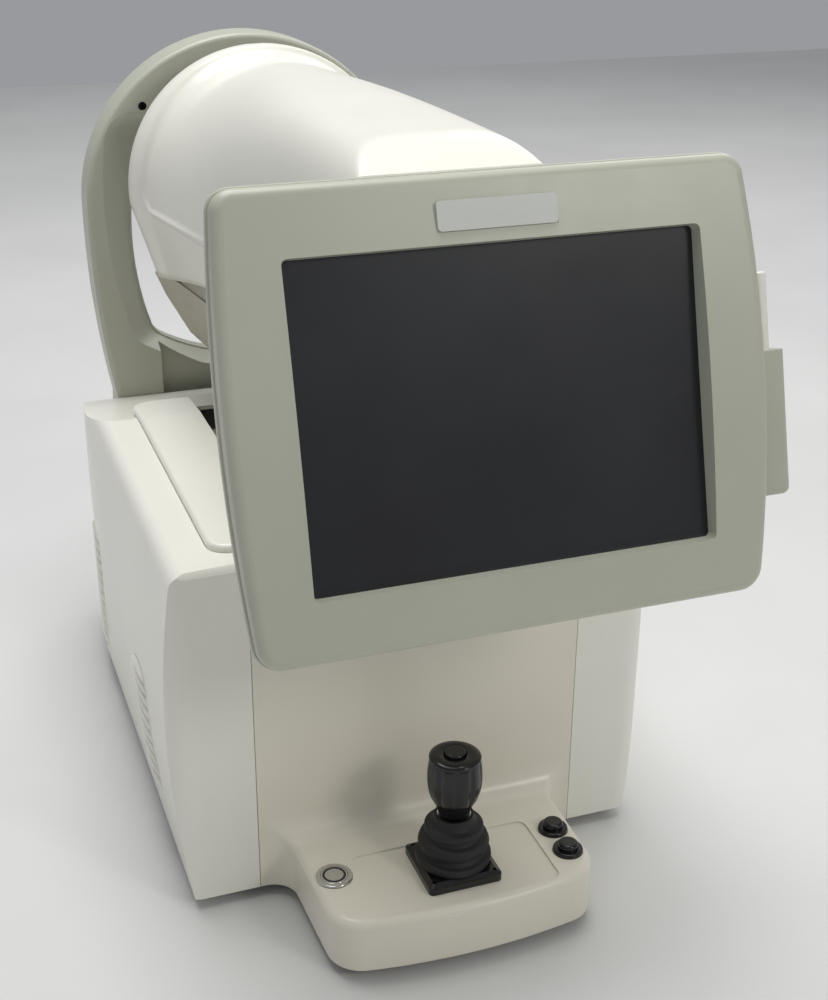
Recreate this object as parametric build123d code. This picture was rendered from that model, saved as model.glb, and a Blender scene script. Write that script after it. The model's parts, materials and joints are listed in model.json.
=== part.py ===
"""Table-top wavefront autorefractor / keratometer, as an assembly of separate pieces.

Millimetres, +Z up. The operator sits at -Y and the patient at +Y; +X is to the operator's right.
Dimensions are measured from the pedestal's rest axis, on the table. When the pieces are saved they
are moved by TO_ORIGIN, which puts the origin on the table under the middle of the whole object.
"""

import os
from math import cos, radians, sin

from build123d import *

# ---------------------------------------------------------------- driving dimensions
WALL = 3.0                  # moulded cover thickness
SEAM = 0.4                  # half the gap at a cover seam
RUN = 0.04                  # radial running clearance of shafts and bushes

TO_ORIGIN = (-4.39, 51.33, 0.0)

# base
BASE_HALF_WIDTH = 155.5     # at the belly of the side walls
BASE_FRONT_Y = -209.0
BASE_BACK_Y = 177.0
BASE_BOTTOM_Z = 8.0
BASE_TOP_Z = 232.0
GROOVE_Z = 128.0            # styling step along each side
STEP_DEPTH = 1.6
PANEL_HALF_WIDTH = 105.0    # front centre panel
TOP_SLOPE_Y = 22.0          # the top falls towards the patient from here
TOP_BACK_Z = 196.0
WELL_HALF_X = 80.0          # opening for the moving pedestal
WELL_Y = (-62.0, 62.0)
TOP_PANEL_HALF = 122.0
TOP_PANEL_Y = (-192.0, 66.0)
FOOT_R = 15.0
CHASSIS_Z = (14.0, 18.0)

# operator shelf
SHELF_TOP_Z = 42.0
SHELF_HALF_WIDTH = 86.0
SHELF_FRONT_Y = -308.0
STICK_Y = -268.0            # joystick axis
GIMBAL_Z = 34.0
POWER_BUTTON_XY = (-71.0, -256.0)
CHIN_BUTTONS_XY = [(71.0, -257.0), (71.0, -279.0)]

# measuring head
HEAD_AXIS_Z = 368.0
RIM_R = 100.0
RIM_Y = 130.0
CREASE_Z = 360.0
HEAD_TOP_Z = 468.0
HEAD_END_Y = -248.0
HEAD_FACE_Y = 150.0
# along the head: y, half width at the crease, half width and height of the skirt's lower edge
HEAD_STATIONS = [
    (110.0, 91.6, 79.0, 308.0),
    (60.0, 82.0, 73.0, 318.0),
    (0.0, 72.5, 65.5, 327.0),
    (-80.0, 62.5, 57.0, 333.0),
    (-160.0, 56.0, 51.0, 336.0),
    (HEAD_END_Y, 54.0, 49.0, 336.0),
]
# crown height at each of those stations
HEAD_TOPS = [460.5, 465.0, 467.0, HEAD_TOP_Z, HEAD_TOP_Z, HEAD_TOP_Z]
LOWER_BOTTOM_Z = 256.0
HEAD_FLOOR_Z = (340.0, 346.0)
NECK = (76.0, 72.0)         # pedestal column, across X and Y

# face arch
ARCH_Y = (178.0, 198.0, 214.0)   # operator face, joint between mouldings, patient face
ARCH_R = 125.0
ARCH_CENTRE_Z = 345.0
ARCH_SCREW_X, ARCH_SCREW_Z = 79.0, 421.0

# display
TILT = 15.9                 # degrees the screen leans back
DISPLAY_Y = -330.0
DISPLAY_Z = 358.0
OPENING = (213.0, 159.0)
SCREEN_RECESS = 5.0
BEZEL_TOP, BEZEL_BOTTOM = 112.9, -110.5
BEZEL_HALF_MID, BEZEL_HALF_TOP, BEZEL_HALF_LOW = 140.5, 134.5, 134.0
BEZEL_BULGE = 4.5
BEZEL_DEPTH = 15.0
BACK_DEPTH = 34.0
HINGE_V, HINGE_W = 30.0, 46.0
HINGE_POINT = (DISPLAY_Y + HINGE_V * sin(radians(TILT)) + HINGE_W * cos(radians(TILT)),
               DISPLAY_Z + HINGE_V * cos(radians(TILT)) - HINGE_W * sin(radians(TILT)))
STYLUS_X, STYLUS_W = 154.3, 24.0
STYLUS_R = 4.0

# stages
Y_RAIL_X, Y_RAIL_Z, Y_RAIL_R = 70.0, 38.0, 6.0
X_RAIL_Y, X_RAIL_Z, X_RAIL_R = 48.0, 74.0, 5.0
Z_GUIDE_X, Z_GUIDE_R = 22.0, 5.0
SCREW_R = 4.0
JOURNAL_R = 2.5
Y_SCREW_Z = 30.0
X_SCREW_Y = 30.0

# chin rest
CHIN_Y = 226.0
CHIN_TOP_Z = 256.0

STANDING = (Align.CENTER, Align.CENTER, Align.MIN)


# ---------------------------------------------------------------- small helpers
def block(x0, x1, y0, y1, z0, z1):
    """A box between two corners."""
    return Pos((x0 + x1) / 2, (y0 + y1) / 2, (z0 + z1) / 2) * Box(x1 - x0, y1 - y0, z1 - z0)


def rod_z(r, x, y, z0, z1):
    return Pos(x, y, (z0 + z1) / 2) * Cylinder(r, z1 - z0)


def rod_y(r, x, z, y0, y1):
    return Pos(x, (y0 + y1) / 2, z) * Rot(90, 0, 0) * Cylinder(r, y1 - y0)


def rod_x(r, y, z, x0, x1):
    return Pos((x0 + x1) / 2, y, z) * Rot(0, 90, 0) * Cylinder(r, x1 - x0)


def across(y):
    """Sketch plane across the length of the machine: local x is X and local y is Z."""
    return Plane(origin=(0, y, 0), x_dir=(1, 0, 0), z_dir=(0, -1, 0))


def prism_y(face, y0, y1):
    """A section drawn in X and Z, carried from y0 to y1."""
    return extrude(across(y1) * face, amount=y1 - y0)


def prism_x(face, x0, x1):
    """A section drawn in Y and Z, carried from x0 to x1."""
    return extrude(Plane(origin=(x0, 0, 0), x_dir=(0, 1, 0), z_dir=(1, 0, 0)) * face, amount=x1 - x0)


def prism_z(face, z0, z1):
    return extrude(Pos(0, 0, z0) * face, amount=z1 - z0)


def rounded(shape, edges, *radii):
    """Round the edges with the largest of the radii that the shape allows."""
    for radius in radii:
        try:
            result = fillet(edges, radius)
            if result.is_valid:
                return result
        except Exception:
            continue
    return shape


def hex_socket(shape, place, r, depth):
    """Sink a hexagonal key socket into the end of a screw, along local -Z."""
    return shape - place * Pos(0, 0, -depth) * extrude(RegularPolygon(r, 6), amount=depth + 1)


def cap_screw(place, head_r=4.0, head_h=3.0, shank_r=2.0, shank=10.0):
    """A socket-head screw whose head stands on the local XY plane, shank along -Z."""
    screw = place * Pos(0, 0, head_h / 2) * Cylinder(head_r, head_h)
    screw += place * Pos(0, 0, -shank / 2) * Cylinder(shank_r, shank)
    return hex_socket(screw, place * Pos(0, 0, head_h), head_r * 0.55, head_h * 0.6)


# ---------------------------------------------------------------- base covers
def plan_outline(inset):
    """Plan of the base: flat front, sides bowed towards a narrower back."""
    front, back = BASE_FRONT_Y + inset, BASE_BACK_Y - (inset if inset > 1 else 0)
    wide = BASE_HALF_WIDTH + 0.5 - inset
    narrow = 141.0 - inset
    right = ThreePointArc((wide, -100), (wide - 3.0, 50), (narrow, back))
    line = Line((wide, front), (wide, -100))
    bottom = Line((-wide, front), (wide, front))
    left = ThreePointArc((-narrow, back), (-(wide - 3.0), 50), (-wide, -100))
    close = Line((-wide, -100), (-wide, front))
    top = Line((narrow, back), (-narrow, back))
    face = make_face(bottom + line + right + top + left + close)
    corners = face.vertices().group_by(Axis.Y)[0]
    return fillet(corners, max(16.0 - inset, 4.0))


def front_profile(inset, z_low):
    """Cross-section of the base in X and Z: bellied sides and a slightly crowned top."""
    low = 146.0 - inset
    belly = BASE_HALF_WIDTH - inset
    high = 148.5 - inset
    top = BASE_TOP_Z - inset
    right = ThreePointArc((low, z_low), (belly, 122), (high, top))
    crown = ThreePointArc((high, top), (0, top + 2.5), (-high, top))
    left = ThreePointArc((-high, top), (-belly, 122), (-low, z_low))
    face = make_face(right + crown + left + Line((-low, z_low), (low, z_low)))
    shoulders = face.vertices().group_by(Axis.Y)[-1]
    return fillet(shoulders, max(11.0 - inset, 4.0))


def side_profile(inset, z_low):
    """Side view of the base in Y and Z: level top that falls towards the patient."""
    front, back = BASE_FRONT_Y + inset - 1, BASE_BACK_Y + 1
    top = BASE_TOP_Z + 4 - inset
    outline = Polyline(
        (front, z_low), (front, top), (TOP_SLOPE_Y, top),
        (back, TOP_BACK_Z - inset), (back, z_low), close=True,
    )
    face = make_face(outline)
    knee = [v for v in face.vertices() if abs(v.X - TOP_SLOPE_Y) < 1 and v.Y > 100]
    face = fillet(knee, 70)
    nose = [v for v in face.vertices() if v.X < front + 1 and v.Y > 100]
    return fillet(nose, max(12.0 - inset, 4.0))


def base_form(inset, z_low=BASE_BOTTOM_Z):
    form = prism_z(plan_outline(inset), z_low, BASE_TOP_Z + 10)
    form &= prism_y(front_profile(inset, z_low), BASE_FRONT_Y - 5, BASE_BACK_Y + 5)
    form &= prism_x(side_profile(inset, z_low), -170, 170)
    return form


def louvre_slots(side):
    """Crescent slots: a rear stack and a front stack on each side wall."""
    slots = []
    for rows, y_top, y_low, z_top, z_low in [(10, -104, -129, 116, 53), (11, 120, 92, 112, 38)]:
        for row in range(rows):
            part = row / (rows - 1)
            y = y_top + (y_low - y_top) * part
            z = z_top + (z_low - z_top) * part
            arc = ThreePointArc((y - 19, z - 1.6), (y, z + 2.0), (y + 19, z - 1.6))
            slot = make_face(arc + Line((y + 19, z - 1.6), (y - 19, z - 1.6)))
            x0, x1 = (100, 170) if side > 0 else (-170, -100)
            slots.append(prism_x(slot, x0, x1))
    return slots


def side_step(form):
    """Below the groove the side walls stand back; the step dies away round the front corner."""
    band = prism_z(plan_outline(0) - plan_outline(STEP_DEPTH), BASE_BOTTOM_Z - 1, GROOVE_Z)
    keep = block(-200, 200, BASE_FRONT_Y - 30, BASE_FRONT_Y + 12, 0, 200)
    return form - (band - keep)


def make_covers():
    outer = side_step(base_form(0))
    inner = base_form(WALL, BASE_BOTTOM_Z - 1)
    shell = outer - inner
    panel_gap = block(-PANEL_HALF_WIDTH, PANEL_HALF_WIDTH, BASE_FRONT_Y - 5, BASE_FRONT_Y + 30,
                      0, BASE_TOP_Z - 14)
    shell -= panel_gap
    tray = block(-TOP_PANEL_HALF, TOP_PANEL_HALF, TOP_PANEL_Y[0], TOP_PANEL_Y[1], BASE_TOP_Z - 0.8, 260)
    shell -= rounded(tray, tray.edges().filter_by(Axis.Z), 14)
    shell -= block(-WELL_HALF_X - 8, WELL_HALF_X + 8, WELL_Y[0] - 8, WELL_Y[1] + 2, 200, 260)
    shell -= prism_y(rear_outline(SEAM), BASE_BACK_Y - 20, BASE_BACK_Y + 5)
    covers = {}
    for name, side in (("left_cover", -1), ("right_cover", 1)):
        x0, x1 = (SEAM / 2, 200) if side > 0 else (-200, -SEAM / 2)
        half = shell & block(x0, x1, -400, 400, 0, 300)
        for slot in louvre_slots(side):
            half -= slot
        covers[name] = half
    covers["right_cover"] -= block(130, 170, 131, 155, 27, 45)
    return covers


def make_top_panel():
    """Raised insert on the base top, with the well that the pedestal moves in."""
    low = BASE_TOP_Z - 0.4
    crest = BASE_TOP_Z + 5.5
    plate = block(-TOP_PANEL_HALF + SEAM, TOP_PANEL_HALF - SEAM, TOP_PANEL_Y[0] + SEAM,
                  TOP_PANEL_Y[1] - SEAM, low, crest)
    plate = rounded(plate, plate.edges().filter_by(Axis.Z), 13)
    fall = Polyline((TOP_SLOPE_Y, 300), (TOP_SLOPE_Y, crest), (TOP_PANEL_Y[1] + 1, crest - 4.0),
                    (TOP_PANEL_Y[1] + 1, 300), close=True)
    plate -= prism_x(make_face(fall), -150, 150)
    plate = rounded(plate, plate.faces().sort_by(Axis.Z)[-1].outer_wire().edges(), 3.0, 2.0, 1.0)
    return plate - block(-WELL_HALF_X, WELL_HALF_X, WELL_Y[0], WELL_Y[1] + 20, 200, 260)


def make_front_panel():
    """Centre panel with the operator's shelf growing out of it in concave cheeks."""
    half = PANEL_HALF_WIDTH - SEAM
    panel = base_form(0) - base_form(WALL, BASE_BOTTOM_Z - 1)
    panel &= block(-half, half, BASE_FRONT_Y - 5, BASE_FRONT_Y + WALL + 0.2, 0, BASE_TOP_Z - 14 - SEAM)
    back = BASE_FRONT_Y + 1.0
    wide = SHELF_HALF_WIDTH
    front = SHELF_FRONT_Y
    bow = ThreePointArc((-wide + 3, front + 9), (0, front), (wide - 3, front + 9))
    outline = bow + Line((wide - 3, front + 9), (wide, back)) + Line((wide, back), (-wide, back))
    outline += Line((-wide, back), (-wide + 3, front + 9))
    plan = make_face(outline)
    plan = fillet(plan.vertices().group_by(Axis.Y)[0], 22)
    shelf = prism_z(plan, BASE_BOTTOM_Z, SHELF_TOP_Z)
    solid = panel + shelf
    root = [e for e in solid.edges() if abs(e.center().Y - BASE_FRONT_Y) < 1.6
            and BASE_BOTTOM_Z + 1 < e.center().Z < SHELF_TOP_Z + 2 and abs(e.center().X) < wide + 2]
    solid = rounded(solid, root, 16, 12, 8, 5)
    rim = [e for e in solid.edges() if abs(e.center().Z - SHELF_TOP_Z) < 0.5
           and e.center().Y < BASE_FRONT_Y - 20 and not e.is_closed]
    solid = rounded(solid, rim, 5, 4, 3, 2)
    hollow = prism_z(offset(plan, -WALL), BASE_BOTTOM_Z - 1, SHELF_TOP_Z - WALL)
    hollow &= block(-200, 200, front - 5, BASE_FRONT_Y + 10, 0, 100)
    solid -= hollow
    # shallow tray round the joystick
    tray = block(-57, 57, front - 10, STICK_Y + 26, SHELF_TOP_Z - 1.2, SHELF_TOP_Z + 20)
    tray &= block(-57, 57, front + 7, STICK_Y + 26, 0, 100)
    solid -= rounded(tray, tray.edges().filter_by(Axis.Z), 6)
    x, y = POWER_BUTTON_XY
    solid -= rod_z(11.3, x, y, SHELF_TOP_Z - 0.8, SHELF_TOP_Z + 5)
    solid -= rod_z(9.5, x, y, 30, SHELF_TOP_Z + 5)
    for x, y in CHIN_BUTTONS_XY:
        solid -= rod_z(9.5, x, y, SHELF_TOP_Z - 0.8, SHELF_TOP_Z + 5)
        solid -= rod_z(7.5, x, y, 30, SHELF_TOP_Z + 5)
    return solid - rod_z(19.5, 0, STICK_Y, 30, SHELF_TOP_Z + 5)


def rear_outline(grow):
    """Back opening of the base, closed by the rear panel."""
    low, high = CHASSIS_Z[0] + 0.5 - grow, TOP_BACK_Z - 14 + grow
    return make_face(Polyline((-124 - grow, low), (124 + grow, low), (124 + grow, high),
                              (-124 - grow, high), close=True))


def make_rear_panel():
    """Plate that closes the back of the base and carries the foot of the arch."""
    return prism_y(rear_outline(0), BASE_BACK_Y - 3, ARCH_Y[0])


def make_chassis():
    """Cast base plate: rail pedestals, motor pad and bearing block in one piece."""
    plate = base_form(WALL) & block(-200, 200, -300, BASE_BACK_Y - 3, *CHASSIS_Z)
    for x in (-105, -35, 35, 105):
        for y in (-165, 60):
            plate -= Pos(x, y, 0) * extrude(SlotOverall(44, 10), amount=30)
    for x in (-Y_RAIL_X, Y_RAIL_X):
        for y0, y1 in ((-124, -108), (108, 124)):
            pedestal = block(x - 12, x + 12, y0, y1, CHASSIS_Z[1] - 1, Y_RAIL_Z + 10)
            plate += rounded(pedestal, pedestal.edges().filter_by(Axis.Y).group_by(Axis.Z)[-1], 6)
    for x in (-Y_RAIL_X, Y_RAIL_X):
        plate -= rod_y(Y_RAIL_R, x, Y_RAIL_Z, -116, 116)
    plate += block(-12, 12, -136, -108, CHASSIS_Z[1] - 1, Y_SCREW_Z - 11)
    plate += block(-9, 9, 97, 105, CHASSIS_Z[1] - 1, Y_SCREW_Z + 8)
    return plate - rod_y(JOURNAL_R + RUN, 0, Y_SCREW_Z, 90, 120)


def make_feet():
    feet = []
    for x in (-118, 118):
        for y in (-172, 150):
            foot = rod_z(FOOT_R, x, y, 0, CHASSIS_Z[0])
            foot = rounded(foot, foot.edges().group_by(Axis.Z)[0], 2.0)
            feet.append(foot - rod_z(4, x, y, -1, 5))
    return Compound(feet)


# ---------------------------------------------------------------- stages inside the base
def make_y_rails():
    rails = []
    for x in (-Y_RAIL_X, Y_RAIL_X):
        rails.append(rod_y(Y_RAIL_R, x, Y_RAIL_Z, -116, 116))
    return Compound(rails)


def make_y_carriage():
    """Saddle on the fore-and-aft rails, with its bushes and nut below."""
    plate = block(-118, 118, -62, 62, Y_RAIL_Z + 14, Y_RAIL_Z + 20)
    plate = rounded(plate, plate.edges().filter_by(Axis.Z), 8)
    for x in (-Y_RAIL_X, Y_RAIL_X):
        for y in (-46, 46):
            bush = block(x - 13, x + 13, y - 14, y + 14, Y_RAIL_Z - 13, Y_RAIL_Z + 15)
            plate += rounded(bush, bush.edges().filter_by(Axis.Y).group_by(Axis.Z)[0], 7)
    plate += block(-11, 11, -10, 10, Y_RAIL_Z - 15, Y_RAIL_Z + 15)
    for x in (-Y_RAIL_X, Y_RAIL_X):
        plate -= rod_y(Y_RAIL_R + RUN, x, Y_RAIL_Z, -80, 80)
    plate -= rod_y(SCREW_R + RUN, 0, Y_SCREW_Z, -80, 80)
    for x in (-112, 112):
        for y in (-X_RAIL_Y, X_RAIL_Y):
            post = block(x - 6, x + 6, y - 9, y + 9, Y_RAIL_Z + 19, X_RAIL_Z + 8)
            plate += rounded(post, post.edges().filter_by(Axis.X).group_by(Axis.Z)[-1], 5)
    plate += block(-112, -106, X_SCREW_Y - 10, X_SCREW_Y + 12, Y_RAIL_Z + 19, X_RAIL_Z + 8)
    plate += block(87, 95, X_SCREW_Y - 7, X_SCREW_Y + 6, Y_RAIL_Z + 19, X_RAIL_Z + 8)
    for y in (-X_RAIL_Y, X_RAIL_Y):
        plate -= rod_x(X_RAIL_R, y, X_RAIL_Z, -113, 113)
    return plate - rod_x(JOURNAL_R + RUN, X_SCREW_Y, X_RAIL_Z, 80, 100)


def make_x_rails():
    return Compound([rod_x(X_RAIL_R, y, X_RAIL_Z, -113, 113) for y in (-X_RAIL_Y, X_RAIL_Y)])


def make_x_carriage():
    """Cross-slide with its bushes and nut."""
    top = X_RAIL_Z + 16
    plate = block(-46, 46, -60, 60, top - 6, top)
    plate = rounded(plate, plate.edges().filter_by(Axis.Z), 6)
    for y in (-X_RAIL_Y, X_RAIL_Y):
        for x in (-32, 32):
            bush = block(x - 13, x + 13, y - 11, y + 11, X_RAIL_Z - 11, top - 5)
            plate += rounded(bush, bush.edges().filter_by(Axis.X).group_by(Axis.Z)[0], 6)
    plate += block(-10, 10, X_SCREW_Y - 8, X_SCREW_Y + 6, X_RAIL_Z - 9, top - 5)
    for y in (-X_RAIL_Y, X_RAIL_Y):
        plate -= rod_x(X_RAIL_R + RUN, y, X_RAIL_Z, -80, 80)
    plate -= rod_x(SCREW_R + RUN, X_SCREW_Y, X_RAIL_Z, -80, 80)
    for x in (-Z_GUIDE_X, Z_GUIDE_X):
        boss = rod_z(10, x, 0, top - 1, top + 14)
        plate += boss
        plate -= rod_z(Z_GUIDE_R, x, 0, top - 8, top + 20)
    return plate - rod_z(SCREW_R + 1.5, 0, 0, top - 10, top + 5)


def make_z_guides():
    low = X_RAIL_Z + 10
    return Compound([rod_z(Z_GUIDE_R, x, 0, low, 226) for x in (-Z_GUIDE_X, Z_GUIDE_X)])


def make_dust_shield():
    """Sheet on four legs that closes the well round the pedestal as it moves."""
    sheet = block(-102, 102, -84, 62, 204, 207)
    sheet = rounded(sheet, sheet.edges().filter_by(Axis.Z), 6)
    for x in (-41, 41):
        for y in (-48, 48):
            sheet += rod_z(4, x, y, X_RAIL_Z + 16, 205)
    opening = block(-NECK[0] / 2 - 1, NECK[0] / 2 + 1, -NECK[1] / 2 - 1, NECK[1] / 2 + 1, 200, 210)
    return sheet - rounded(opening, opening.edges().filter_by(Axis.Z), 12)


def make_screw(length):
    """Lead screw with a journal at each end, along +Z from the origin."""
    screw = Pos(0, 0, 0.5) * Cylinder(SCREW_R, length - 0.5, align=STANDING)
    for k in range(int((length - 24) / 10)):
        screw -= Pos(0, 0, 17 + 10 * k) * (Cylinder(SCREW_R + 1, 2.4) - Cylinder(SCREW_R - 0.7, 3))
    return screw + Pos(0, 0, -9) * Cylinder(JOURNAL_R, length + 16, align=STANDING)


def make_motor(width, length):
    """Stepper motor with a bore for the screw's journal, along -Z from the origin."""
    body = Pos(0, 0, -length / 2) * Box(width, width, length)
    body = rounded(body, body.edges().filter_by(Axis.Z), 4)
    for z in (-5, 5 - length):
        body -= Pos(0, 0, z) * (Box(width + 2, width + 2, 0.8) - Box(width - 1.6, width - 1.6, 2))
    return body - Pos(0, 0, -10) * Cylinder(JOURNAL_R + RUN, 11, align=STANDING)


# ---------------------------------------------------------------- measuring head
def upper_section(half, top):
    """Half-ellipse that stands on the crease line."""
    rise = top - CREASE_Z
    return Pos(0, CREASE_Z) * (Ellipse(half, rise) & Pos(0, rise / 2) * Rectangle(2 * half + 2, rise))


def upper_form(inset):
    sections = []
    for (y, half, _, _), top in zip(HEAD_STATIONS, HEAD_TOPS):
        sections.append(across(y) * upper_section(half - inset, top - inset))
    return loft(sections)


def skirt_section(half, low_half, z, inset):
    return make_face(Polyline((-half + inset, CREASE_Z), (half - inset, CREASE_Z),
                              (low_half - inset, z), (-low_half + inset, z), close=True))


def skirt_form(inset):
    sections = []
    for y, half, low_half, low_z in HEAD_STATIONS:
        sections.append(across(y) * skirt_section(half, low_half, low_z, inset))
    return loft(sections)


def rim_outline(inset, low_z=306.0):
    """Front view of the rim: round above, sides running together below."""
    r = RIM_R - inset
    start = radians(-10)
    x, z = r * cos(start), HEAD_AXIS_Z + r * sin(start)
    arc = ThreePointArc((x, z), (0, HEAD_AXIS_Z + r), (-x, z))
    foot = 85.0 - inset
    return make_face(arc + Line((-x, z), (-foot, low_z)) + Line((-foot, low_z), (foot, low_z))
                     + Line((foot, low_z), (x, z)))


def facet_cutter(drop):
    """Wedge above the inclined plane at the operator's end of the head."""
    low, high = HEAD_TOP_Z - 22 - drop, HEAD_TOP_Z - 4 - drop
    side = make_face(Polyline((HEAD_END_Y - 5, low), (-222, high), (-206, HEAD_TOP_Z + 1 - drop),
                              (-206, 500), (HEAD_END_Y - 5, 500), close=True))
    return prism_x(side, -100, 100)


def make_upper_shell():
    """Upper cover of the head, cut by an inclined facet behind the display."""
    outer = upper_form(0) - facet_cutter(0)
    inner = upper_form(WALL) - facet_cutter(WALL)
    inner -= block(-100, 100, HEAD_END_Y - 5, HEAD_END_Y + WALL, 340, 500)
    shell = outer - inner
    return shell - block(-26, 26, HEAD_END_Y - 1, HEAD_END_Y + 10, 350, 400)


def make_lower_shell():
    """Rim band and skirt in one moulding, open below for the lower housing."""
    lip = CREASE_Z - SEAM
    rim = loft([across(110.0) * rim_outline(8.0), across(RIM_Y) * rim_outline(0)], ruled=True)
    rim += loft([across(RIM_Y) * rim_outline(0), across(142.0) * rim_outline(1.2)], ruled=True)
    rim += loft([across(142.0) * rim_outline(1.2), across(HEAD_FACE_Y) * rim_outline(7.0)], ruled=True)
    rim -= rod_y(84.0, 0, HEAD_AXIS_Z, 138, 160)
    rim -= rod_y(78.0, 0, HEAD_AXIS_Z, 100, 140)
    hollow = across(113.0) * rim_outline(12.0, 309.0)
    rim -= extrude(hollow, amount=10)
    inner = skirt_form(WALL)
    front_hollow = inner & block(-200, 200, -100, 200, 300, 400)
    rear_hollow = inner & block(-200, 200, -300, -99, HEAD_FLOOR_Z[0] - 0.5, 400)
    inner = front_hollow + rear_hollow
    skirt = skirt_form(0) - inner
    skirt &= block(-200, 200, HEAD_END_Y, 110.5, 300, lip)
    end = skirt_form(0) & block(-100, 100, HEAD_END_Y, HEAD_END_Y + WALL, 300, lip)
    band = rim + skirt + end
    return band - block(-26, 26, HEAD_END_Y - 1, HEAD_END_Y + 10, 350, 400)


def housing_tier(z, halves, ys, inset):
    """Plan of the lower housing at one height: half widths at the patient face, the rim and the back."""
    front, mid, back = (half - inset for half in halves)
    y_front, y_mid, y_back = ys[0] - inset, ys[1], ys[2] + inset
    return Pos(0, 0, z) * make_face(Polyline(
        (-front, y_front), (front, y_front), (mid, y_mid), (back, y_back), (-back, y_back), (-mid, y_mid),
        close=True))


def housing_form(inset):
    """Collar that stands inside the skirt, and the body that narrows to the pedestal."""
    tiers = [
        housing_tier(305.6, (84, 73, 46), (143, 108, -96), inset),
        housing_tier(288, (77, 70, 45), (142, 108, -94), inset),
        housing_tier(LOWER_BOTTOM_Z, (60, 57, 40), (134, 100, -60), inset),
    ]
    body = loft(tiers[:2], ruled=True) + loft(tiers[1:], ruled=True)
    collar = [
        housing_tier(339, (68, 67, 43), (105, 100, -95), inset),
        housing_tier(305, (72, 71, 45), (106, 100, -95.5), inset),
    ]
    return body + loft(collar, ruled=True)


def make_lower_housing():
    """Inset casing under the skirt, narrowing to the pedestal."""
    solid = housing_form(0)
    solid = rounded(solid, solid.faces().sort_by(Axis.Z)[0].outer_wire().edges(), 6, 4, 2)
    solid -= housing_form(WALL) & block(-200, 200, -200, 200, LOWER_BOTTOM_Z + WALL, 302)
    solid -= loft([housing_tier(340, (68, 67, 43), (105, 100, -95), WALL),
                   housing_tier(300, (72, 71, 45), (106, 100, -95.5), WALL)], ruled=True)
    solid -= rod_y(84.0, 0, HEAD_AXIS_Z, 137.5, HEAD_FACE_Y)
    solid -= rod_y(66.5, 0, HEAD_AXIS_Z, 130, 138)
    solid -= cone_y(18.0, 60.0, 114, 136.5)
    half_x, half_y = NECK[0] / 2 - 4, NECK[1] / 2 - 4
    return solid - block(-half_x, half_x, -half_y, half_y, LOWER_BOTTOM_Z - 6, LOWER_BOTTOM_Z + 6)


def make_neck():
    """Hollow pedestal that carries the head and slides over the lift guides."""
    x, y = NECK[0] / 2, NECK[1] / 2
    tube = block(-x, x, -y, y, 112, LOWER_BOTTOM_Z)
    tube = rounded(tube, tube.edges().filter_by(Axis.Z), 12)
    tube -= block(-x + 4, x - 4, -y + 4, y - 4, 100, LOWER_BOTTOM_Z - 10)
    yoke = block(-x + 3, x - 3, -13, 13, 132, 150)
    tube += yoke
    for gx in (-Z_GUIDE_X, Z_GUIDE_X):
        tube -= rod_z(Z_GUIDE_R + RUN, gx, 0, 100, LOWER_BOTTOM_Z - 9)
    tube -= rod_z(SCREW_R + RUN, 0, 0, 100, LOWER_BOTTOM_Z - 9)
    return tube


def make_head_frame():
    """Cast frame inside the head: floor, pedestal stem, bulkheads, and the ears for the display."""
    floor = block(-44, 44, -240, 96, *HEAD_FLOOR_Z)
    floor = rounded(floor, floor.edges().filter_by(Axis.Z), 8)
    frame = floor + block(-30, 30, -30, 30, LOWER_BOTTOM_Z, HEAD_FLOOR_Z[0] + 1)
    frame += block(-40, 40, -42, 42, LOWER_BOTTOM_Z + WALL, LOWER_BOTTOM_Z + WALL + 4)
    inside = upper_form(WALL) + skirt_form(WALL)
    for y0, y1 in ((30, 34), (-194, -190)):
        bulkhead = inside & block(-200, 200, y0, y1, HEAD_FLOOR_Z[0], 440)
        bulkhead -= rod_y(26, 0, HEAD_AXIS_Z, y0 - 1, y1 + 1)
        frame += bulkhead - block(-17, 17, y0, y1, HEAD_FLOOR_Z[1], HEAD_AXIS_Z)
    wall_y = HEAD_END_Y + WALL
    frame += inside & block(-40, 40, wall_y, wall_y + 6, HEAD_FLOOR_Z[0], 430)
    frame += block(-24, 24, HEAD_END_Y - 3, wall_y + 1, HINGE_POINT[1] - 22, HINGE_POINT[1] + 22)
    for x in (-18, 18):
        frame += block(x - 4, x + 4, HINGE_POINT[0], HEAD_END_Y - 2, HINGE_POINT[1] - 9, HINGE_POINT[1] + 9)
        frame += rod_x(9, *HINGE_POINT, x - 4, x + 4)
    return frame - rod_x(4.0 + RUN, *HINGE_POINT, -40, 40)


def make_measuring_face():
    """Patient-side ring of the head, round the lit cone."""
    disc = rod_y(83.5, 0, HEAD_AXIS_Z, 138, HEAD_FACE_Y - 1.5)
    disc = rounded(disc, disc.edges().group_by(Axis.Y)[-1], 2.0)
    return disc - rod_y(58, 0, HEAD_AXIS_Z, 130, 160)


def cone_y(r0, r1, y0, y1):
    return Pos(0, y0, HEAD_AXIS_Z) * Rot(-90, 0, 0) * Cone(r0, r1, y1 - y0, align=STANDING)


def make_target_cone():
    """Translucent cone whose lit rings are reflected from the cornea."""
    cone = cone_y(15.0, 56.0, 116, 136) + rod_y(66, 0, HEAD_AXIS_Z, 135, 138)
    cone -= cone_y(13.5, 54.5, 115.9, 136.1)
    cone -= rod_y(54.5, 0, HEAD_AXIS_Z, 136, 140)
    return cone - rod_y(11.0, 0, HEAD_AXIS_Z, 100, 160)


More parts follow.
